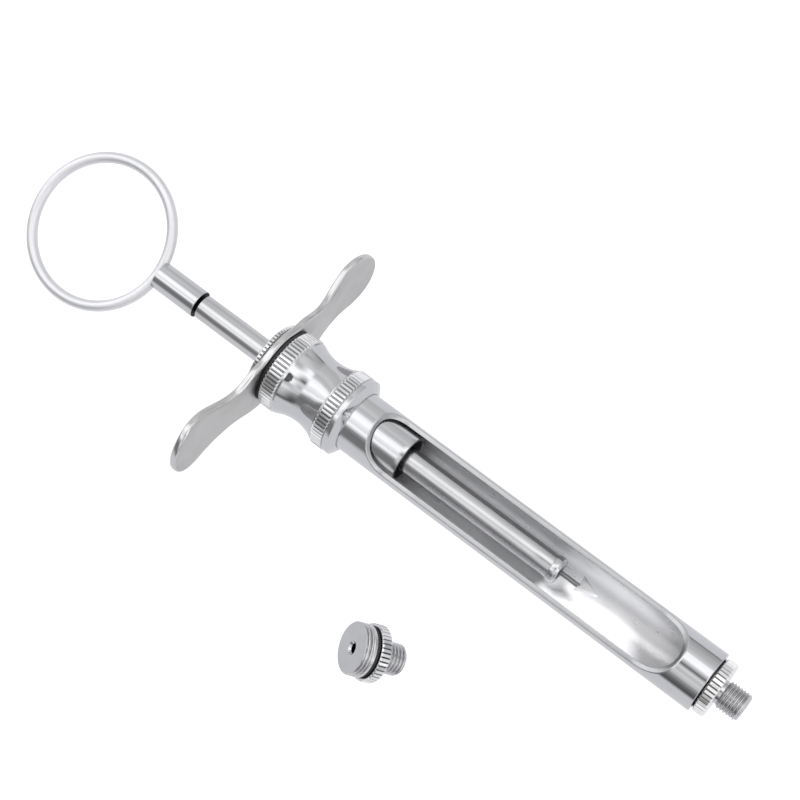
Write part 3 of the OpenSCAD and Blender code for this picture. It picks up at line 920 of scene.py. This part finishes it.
def build_harpoon():
    harpoon = piece("harpoon_barb", harpoon_shape(), "plunger", "harpoon",
                    HARPOON, sharp=25)
    # painted shade on the harpoon's shank by the holder
    finish(harpoon, PAINTED_SHADE, lambda x, r, facing: x < -30.8)


# -------------------------------------------------------------- thumb ring
ring_lo, ring_hi = span("thumb_ring")
RING_X = (ring_lo[0] + ring_hi[0]) / 2
RING_RADIUS, RING_WIRE = 14.22, 1.08     # ring to mid wire, and the wire's own radius
RING_TURN = 10                           # degrees about X
COLLAR_REAR, COPE_START = -128.4, -127.0


def ring_shape(around=288, sides=36):
    verts, faces = [], []
    for i in range(around):
        a = TAU * i / around
        for j in range(sides):
            b = TAU * j / sides
            r = RING_RADIUS + RING_WIRE * math.cos(b)
            verts.append((RING_X + r * math.cos(a), r * math.sin(a), RING_WIRE * math.sin(b)))
    for i in range(around):
        here, there = i * sides, (i + 1) % around * sides
        for j in range(sides):
            k = (j + 1) % sides
            faces.append((here + j, there + j, there + k, here + k))
    return turn(verts, RING_TURN), faces


def collar_shape():
    profile = [
        (COLLAR_REAR, 0.0, 0), (COLLAR_REAR, 2.75, 0.1), (-118.2, 2.75, 0.16),
        (-118.2, 1.66, 0.05), (-124.0, 1.66, 0.03), (-124.0, 2.12, 0.02), (-124.75, 2.12, 0.02),
        (-124.75, 1.66, 0.03), (-126.2, 1.66, 0.05), (-126.2, 0.0, 0)]
    points = dense(fillet(profile, steps=5, closed=False), 0.3, closed=False)
    verts, faces = lathe(points, 160, closed=False)
    coped = []
    for x, y, z in verts:                # the end is coped to sit on the ring
        if x < COPE_START:
            edge = RING_X + math.sqrt((RING_RADIUS + 0.8) ** 2 - y * y)
            share = (x - COLLAR_REAR) / (COPE_START - COLLAR_REAR)
            x = edge + share * (COPE_START - edge)
        coped.append((x, y, z))
    return turn(coped, RING_TURN), faces


def clip_shape():
    """Snap ring with a 36 degree gap."""
    section = fillet([(-124.68, 1.3), (-124.68, 2.06), (-124.08, 2.06), (-124.08, 1.3)], 0.1, 3)
    gap, steps = 36, 72
    verts = []
    for i in range(steps + 1):
        a = math.radians(90 + gap / 2 + (360 - gap) * i / steps)
        verts += [(x, r * math.cos(a), r * math.sin(a)) for x, r in section]
    faces = [*bridge(steps + 1, len(section)), *end_caps(steps + 1, len(section))]
    return turn(verts, RING_TURN), faces


def build_thumb_ring():
    piece("thumb_ring_wire", ring_shape(), "ring", "thumb_ring", CHROME_RING)
    collar = piece("ring_collar_sleeve", collar_shape(), "ring", "ring_collar", CHROME)
    # painted shade on the collar's front face and bore, in the gap round the rod
    finish(collar, GAP_SHADE, lambda x, r, facing:
           (x > -118.22 and facing > 0.8) or (x > -124.0 and r < 1.75))
    piece("swivel_snap_clip", clip_shape(), "ring", "swivel_snap_ring", SPRING)


# ---------------------------------------------------------------- adapters
PASSAGE = 0.9                      # radius of the hole through an adapter
BARREL_THREAD_RADIUS = 4.96
FLANGE_TEETH = 40
# where the spare adapter's flange face lies, its heading about Z and its tilt
SPARE_PLACE = (Matrix.Translation((-53.4, -31.1, -9.5))
               @ Matrix.Rotation(math.radians(25.6), 4, "Z")
               @ Matrix.Rotation(math.radians(41.6), 4, "Y"))


def adapter_collar():
    """Rear collar with the barrel thread."""
    tip = BARREL_THREAD_RADIUS
    profile = [
        (-5.4, 1.35, 0.05), (-5.4, 4.78, 0.1), (-5.22, tip, 0.04), (-2.99, tip, 0.07),
        (-2.97, 4.36, 0.04), (-2.1, 4.36, 0.02), (-2.1, 3.0, 0.0), (-4.0, 3.0, 0.0),
        (-4.0, 1.35, 0.0)]
    groove = thread(tip, pitch=0.75, depth=0.34, start=-5.3)

    def cut(x, r, a):
        if r < 4.4:
            return r
        fade = max(0.0, min(1.0, (x + 3.85) / 0.3))      # runs out into a plain land
        return r + (groove(x, r, a) - r) * (1 - fade)

    return lathe(dense(fillet(profile, 0.05, 3), 0.05), 128, cut)


def adapter_flange():
    profile = [
        (-2.2, 3.2, 0), (-2.2, 5.2, 0.08), (-1.98, 5.42, 0.06), (-0.24, 5.42, 0.06),
        (0.0, 5.12, 0.10), (0.0, 1.6, 0.0), (-1.0, 1.6, 0.0), (-1.0, 3.2, 0.0)]
    teeth = knurl(FLANGE_TEETH, 5.45, 0.32, crest=0.62)
    return lathe(dense(fillet(profile), 0.35), FLANGE_TEETH * TOOTH_SEGMENTS,
                 lambda x, r, a: teeth(x, r, a) if r > 5.0 else r)


def adapter_stub(radius, pitch, depth):
    """Threaded needle stub."""
    neck = radius - 0.5
    profile = [
        (-0.6, PASSAGE, 0), (-0.6, neck, 0.0), (0.55, neck, 0.05), (0.75, radius, 0.05),
        (4.45, radius, 0.1), (5.0, radius - 0.55, 0.1), (5.0, PASSAGE + 0.18, 0.06),
        (4.8, PASSAGE, 0.05)]
    groove = thread(radius, pitch, depth, start=0.75, crest=0.16, root=0.16)
    return lathe(dense(fillet(profile, 0.05), 0.05), 128,
                 lambda x, r, a: groove(x, r, a) if r > PASSAGE + 0.6 and x > 0.1 else r)


def adapter_shape(stub_radius, pitch, depth):
    """Needle adapter about X with its flange face at x = 0 and the stub towards +X."""
    # passage, countersunk in the rear face
    passage = lathe([(-5.4, 1.4), (-5.28, 1.28), (-4.9, 0.92), (-4.6, PASSAGE),
                     (-0.6, PASSAGE), (-0.6, 1.7), (-4.6, 1.7)], 96)
    return join([adapter_collar(), adapter_flange(), adapter_stub(stub_radius, pitch, depth),
                 passage])


def beside(shape):
    """Moves a shape to the spare adapter's place."""
    verts, faces = shape
    return [tuple(SPARE_PLACE @ Vector(p)) for p in verts], faces


def finish_adapter(thing, flange, place=Matrix.Identity(4)):
    for material in (flange, CHROME_THREAD, TURNED):
        thing.data.materials.append(material)
    to_local = place.inverted()
    for face in thing.data.polygons:
        x, y, z = to_local @ Vector([c / MM for c in face.center])
        r = math.hypot(y, z)
        if -2.22 < x < 0.02 and r > 5.0:
            face.material_index = 1                      # flange
        elif x > 0.4 or (r > 4.2 and -5.2 < x < -2.25):
            face.material_index = 2                      # threads
        elif x < -5.3:
            face.material_index = 3                      # rear face


def build_adapters():
    fitted = piece("needle_adapter_screw", adapter_shape(2.78, pitch=0.64, depth=0.32),
                   "adapter", "needle_adapter", CHROME, sharp=28)
    spare = piece("spare_adapter_screw", beside(adapter_shape(3.0, pitch=0.75, depth=0.38)),
                  "spare", "spare_adapter", CHROME, sharp=28)
    finish_adapter(fitted, CHROME_FLANGE)
    finish_adapter(spare, CHROME_KNURL, SPARE_PLACE)
    seal = lathe(fillet([(-2.9, 4.4), (-2.9, 4.88), (-2.3, 4.88), (-2.3, 4.4)], 0.22, 5), 128)
    piece("adapter_seal_ring", seal, "adapter_seal", "adapter_o_ring", RUBBER)
    piece("spare_seal_ring", beside(seal), "spare", "spare_o_ring", RUBBER)


# ------------------------------------------------------------------ camera
CAMERA_X = 17.5                    # the camera stands over this x
CAMERA_HEIGHT = 358.0              # distance from the barrel's axis
AXIS_OFFSET = 7.72429              # how far the view's centre lies off the barrel's axis
AXIS_HEADING = math.radians(36.31)     # of the barrel in view, down from the right
AXIS_PITCH = math.radians(14.7)        # of the barrel's needle end towards the camera
AXIS_ROLL = math.radians(6.0)          # of the view about the barrel


def build_camera():
    # the barrel frame's axes in camera space: x right, y up, z towards the camera
    along = Vector((math.cos(AXIS_HEADING), -math.sin(AXIS_HEADING), 0))
    across = Vector((math.sin(AXIS_HEADING), math.cos(AXIS_HEADING), 0))
    towards = Vector((0, 0, 1))
    x_axis = math.cos(AXIS_PITCH) * along + math.sin(AXIS_PITCH) * towards
    lifted = -math.sin(AXIS_PITCH) * along + math.cos(AXIS_PITCH) * towards
    z_axis = math.cos(AXIS_ROLL) * lifted + math.sin(AXIS_ROLL) * across
    y_axis = math.cos(AXIS_ROLL) * across - math.sin(AXIS_ROLL) * lifted
    distance = CAMERA_HEIGHT / math.cos(AXIS_PITCH)
    aim_x = CAMERA_X - CAMERA_HEIGHT * math.tan(AXIS_PITCH)
    origin = -across * AXIS_OFFSET - aim_x * x_axis - Vector((0, 0, distance))
    to_barrel = Matrix((x_axis, y_axis, z_axis))

    data = bpy.data.cameras.new("camera")
    data.sensor_fit = "HORIZONTAL"
    data.sensor_width = 36.0
    data.lens = 92.07
    data.clip_start, data.clip_end = 0.01, 10.0
    camera = bpy.data.objects.new("camera", data)
    scene.collection.objects.link(camera)
    camera.matrix_world = (Matrix.Translation(-(to_barrel @ origin) * MM)
                           @ to_barrel.to_4x4())
    scene.camera = camera


# ------------------------------------------------------------------- floor
def build_floor():
    # low enough for the grip's wings to turn
    z = min(cad_lo[2] - 0.00002, -0.0300)
    half = 1.6
    mesh = bpy.data.meshes.new("floor")
    corners = [(-half, -half, z), (half, -half, z), (half, half, z), (-half, half, z)]
    mesh.from_pydata(corners, [], [(0, 1, 2, 3)])
    floor = bpy.data.objects.new("floor", mesh)
    scene.collection.objects.link(floor)

    material = bpy.data.materials.new("floor_white")
    nodes = Nodes(material)
    lit = nodes.add("BsdfDiffuse", Color=(0.9, 0.9, 0.9, 1)).outputs[0]
    white = nodes.add("Emission", Strength=1.02).outputs[0]
    # what polished metal sees of the floor
    mirrored = nodes.add("Emission", Color=(0.97, 0.97, 1.0, 1), Strength=0.90).outputs[0]
    glow_share = 0.88
    seen = nodes.mix_shaders(glow_share, lit, white)
    glossy = nodes.add("LightPath").outputs["Is Glossy Ray"]
    nodes.add("OutputMaterial", Surface=nodes.mix_shaders(glossy, seen, mirrored))
    mesh.materials.append(material)


# -------------------------------------------------------------- light tent
# What glossy surfaces reflect, as (degrees round the barrel's axis, brightness):
# 0 is straight up and positive is towards +Y.
REAR_TENT = [
    (-180, 0.50), (-100, 0.50), (-90, 0.42), (-76, 0.16), (-52, 0.15), (-42, 0.24),
    (-33, 0.62), (-26, 0.93), (-16, 0.70), (-8, 0.80), (4, 0.97), (18, 0.88), (28, 0.52),
    (36, 0.44), (48, 0.52), (66, 0.44), (84, 0.40), (100, 0.46), (120, 0.52), (180, 0.52)]
MIDDLE_TENT = [
    (-180, 0.50), (-97, 0.50), (-90, 0.34), (-80, 0.07), (-68, 0.12), (-56, 0.24),
    (-44, 0.50), (-35, 0.58), (-27, 0.46), (-16, 0.62), (-9, 0.30), (-4, 0.10), (0, 0.34),
    (7, 0.62), (14, 0.96), (32, 0.92), (40, 0.56), (60, 0.42), (78, 0.33), (92, 0.15),
    (98, 0.48), (180, 0.52)]
FRONT_TENT = [
    (-180, 0.50), (-96, 0.50), (-90, 0.40), (-86, 0.10), (-82, 0.12), (-76, 0.36),
    (-60, 0.48), (-48, 0.70), (-40, 0.46), (-34, 0.50), (-29, 0.95), (-18, 0.97),
    (-13, 0.55), (-9, 0.60), (-4, 0.97), (12, 0.95), (19, 0.60), (26, 0.42), (44, 0.56),
    (58, 0.52), (66, 0.30), (72, 0.46), (90, 0.40), (100, 0.46), (180, 0.52)]
TENT_WOBBLE = 0.16                 # radians by which noise bends the tent's bands


def build_world():
    world = bpy.data.worlds.new("studio")
    scene.world = world
    nodes = Nodes(world)
    direction = nodes.add("TexCoord").outputs["Generated"]
    split = nodes.add("SeparateXYZ", Vector=direction).outputs
    angle = nodes.math("ARCTAN2", split["Y"], split["Z"])
    wobble = nodes.add("TexNoise", Vector=direction, Scale=2.2, Detail=1.0).outputs["Fac"]
    around = nodes.map_range(
        nodes.math("MULTIPLY_ADD", wobble, TENT_WOBBLE, angle),
        From_Min=-math.pi + TENT_WOBBLE / 2, From_Max=math.pi + TENT_WOBBLE / 2)

    def tent(stops):
        places = [((degrees + 180) / 360, brightness) for degrees, brightness in stops]
        return nodes.ramp(around, places, interpolation="EASE")

    def fade(start, end):
        return nodes.map_range(split["X"], {"interpolation_type": "SMOOTHSTEP"},
                               From_Min=start, From_Max=end)

    tents = nodes.mix(fade(-0.26, -0.08), tent(REAR_TENT), tent(MIDDLE_TENT))
    tents = nodes.mix(fade(-0.02, 0.45), tents, tent(FRONT_TENT))

    # a dark, ragged opening in the tent, ahead over the needle end
    opening_x, opening_half_x = 0.55, 0.20
    opening_angle, opening_half_angle = math.radians(-22), math.radians(17)
    raggedness = 1.6
    ragged = nodes.add("TexNoise", Vector=direction, Scale=7.0, Detail=3.0).outputs["Fac"]
    dx = nodes.math("DIVIDE", nodes.math("SUBTRACT", split["X"], opening_x), opening_half_x)
    da = nodes.math("DIVIDE", nodes.math("SUBTRACT", angle, opening_angle), opening_half_angle)
    squared = nodes.math("ADD", nodes.math("MULTIPLY", dx, dx), nodes.math("MULTIPLY", da, da))
    squared = nodes.math("ADD", squared, nodes.math("MULTIPLY", ragged, raggedness))
    opening = nodes.map_range(squared, From_Min=1.35, From_Max=1.75, To_Min=0.10, To_Max=1.0)
    reflected = nodes.add("Background", Strength=1.72,
                          Color=nodes.mix(1.0, tents, opening, blend_type="MULTIPLY"))
    soft = nodes.add("Background", Color=(1, 1, 1, 1), Strength=1.0)
    glossy = nodes.add("LightPath").outputs["Is Glossy Ray"]
    nodes.add("OutputWorld",
              Surface=nodes.mix_shaders(glossy, soft.outputs[0], reflected.outputs[0]))


# ------------------------------------------------------------------ lights
def area(name, place, aim, size, power):
    """Area light in metres and watts, unseen in reflections; size is its local X side."""
    data = bpy.data.lights.new(name, "AREA")
    data.shape = "RECTANGLE"
    data.size = size
    data.energy = power
    light = bpy.data.objects.new(name, data)
    scene.collection.objects.link(light)
    light.location = place
    light.rotation_mode = "QUATERNION"
    light.rotation_quaternion = (Vector(aim) - Vector(place)).to_track_quat("-Z", "Y")
    light.visible_glossy = False


def build_lights():
    centre = (-0.08, 0.0, 0.0)
    area("key", place=(-0.05, 0.45, 0.75), aim=centre, size=0.6, power=3.0)
    area("fill", place=(-0.15, -0.6, 0.6), aim=centre, size=0.7, power=1.5)
    # reaches the bore through the window
    area("bay", place=(0.60, 0.46, 0.75), aim=(-0.03, 0.0, 0.0), size=0.34, power=46.0)


build_barrel()
build_housing()
build_guide()
build_rear_fittings()
build_grip()
build_rod()
build_holder()
build_harpoon()
build_thumb_ring()
build_adapters()
build_camera()
build_floor()
build_world()
scene.view_settings.view_transform = "Standard"
build_lights()

bpy.context.view_layer.update()
